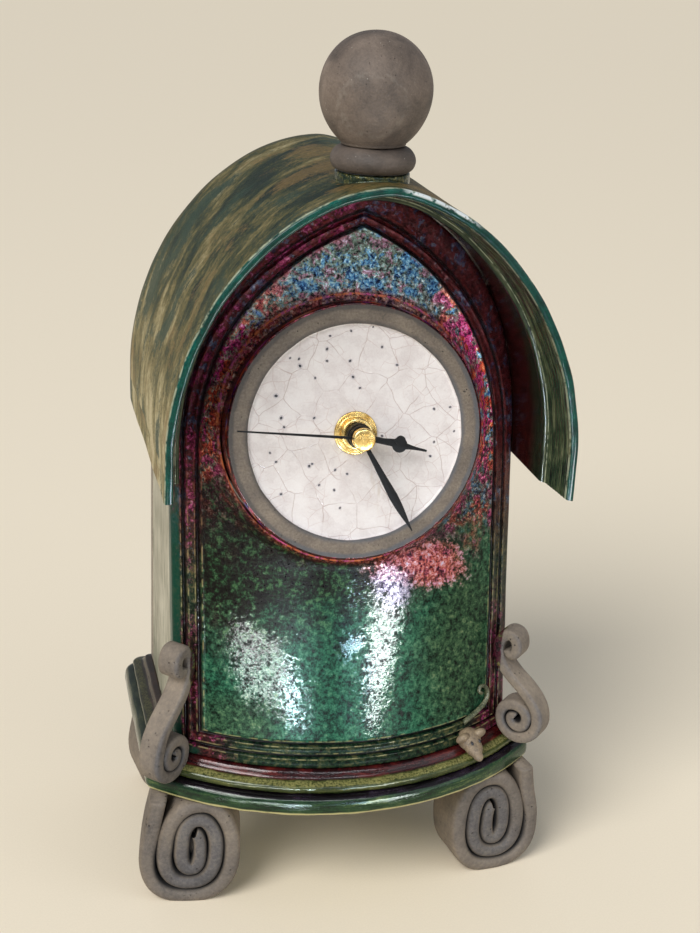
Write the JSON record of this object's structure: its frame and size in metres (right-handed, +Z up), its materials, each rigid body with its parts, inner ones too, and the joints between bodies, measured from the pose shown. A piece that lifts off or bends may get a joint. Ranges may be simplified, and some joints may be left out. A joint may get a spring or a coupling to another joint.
{
  "type": "table clock",
  "caption": "Hand-built smoke-fired clay table clock: leaning bowed front, arched roof, ball finial, rolled spiral feet, corner scrolls, crackle dial and battery movement with geared hands",
  "frame": {"origin": "on the table, at the middle of the bounding box of the whole clock", "axes": "+Z up, -Y towards the dial side, +X to the right as seen from the dial side"},
  "size_m": [0.168, 0.1264, 0.3401],
  "materials": {
    "bare_clay": "smoked unglazed clay, matt",
    "lustre_glaze": "copper lustre glaze, green to dark red, glossy",
    "pale_clay": "pale striated clay, matt",
    "bronze_glaze": "brushed bronze and olive glaze, satin",
    "tan_clay": "tan unglazed clay, matt",
    "white_glaze": "white crackle glaze inside a bare grey ring",
    "brass": "polished",
    "black_hands": "black satin paint",
    "steel": "plain",
    "rubber": "matt",
    "black_plastic": "fine moulded",
    "nylon": "natural moulded",
    "cell_wrapper": "printed sleeve without marks"
  },
  "bodies": {
    "clock_case": {"front_left_foot": "bare_clay", "front_right_foot": "bare_clay", "rear_left_foot": "bare_clay", "rear_right_foot": "bare_clay", "plinth_slab": "lustre_glaze", "plinth_step": "lustre_glaze", "front_panel": "lustre_glaze", "left_wall": "pale_clay", "right_wall": "pale_clay", "back_panel": "pale_clay", "roof_slab": "bronze_glaze", "finial_seat": "lustre_glaze", "finial_collar": "bare_clay", "finial_ball": "bare_clay", "left_scroll": "bare_clay", "right_scroll": "bare_clay", "mouse": "tan_clay", "mouse_tail": "tan_clay", "dial_plate": "white_glaze", "brass_washer": "brass", "brass_nut": "brass", "threaded_bush": "brass", "rubber_washer": "rubber", "movement_shell": "black_plastic", "movement_cover": "black_plastic", "motor_unit": "black_plastic", "battery": "cell_wrapper", "contact_plus": "steel", "contact_minus": "steel"},
    "minute_arbor": {"minute_hand": "black_hands", "minute_pinion": "nylon"},
    "hour_arbor": {"hour_hand": "black_hands", "hour_wheel": "nylon"},
    "setting_arbor": {"transfer_wheel": "nylon", "setting_knob": "black_plastic"},
    "seconds_arbor": {"seconds_hand": "black_hands", "seconds_shaft": "steel", "hand_cap": "brass"}
  },
  "joints": [
    {"name": "minute_hand_turn", "type": "hinge", "parent": "clock_case", "child": "minute_arbor", "pos_m": [-0.0032, -0.03863, 0.196], "axis": [0, 0.989, -0.1478], "continuous": true},
    {"name": "hour_hand_turn", "type": "hinge", "parent": "clock_case", "child": "hour_arbor", "pos_m": [-0.0032, -0.03863, 0.196], "axis": [0, 0.989, -0.1478], "continuous": true},
    {"name": "setting_knob_turn", "type": "hinge", "parent": "clock_case", "child": "setting_arbor", "pos_m": [-0.0032, -0.03686, 0.20787], "axis": [0, 0.989, -0.1478], "continuous": true},
    {"name": "seconds_hand_turn", "type": "hinge", "parent": "clock_case", "child": "seconds_arbor", "pos_m": [-0.0032, -0.03863, 0.196], "axis": [0, 0.989, -0.1478], "continuous": true}
  ],
  "couplings": [
    {"joint": "setting_knob_turn", "follows": "minute_hand_turn", "ratio": -0.33333},
    {"joint": "hour_hand_turn", "follows": "minute_hand_turn", "ratio": 0.083333}
  ]
}
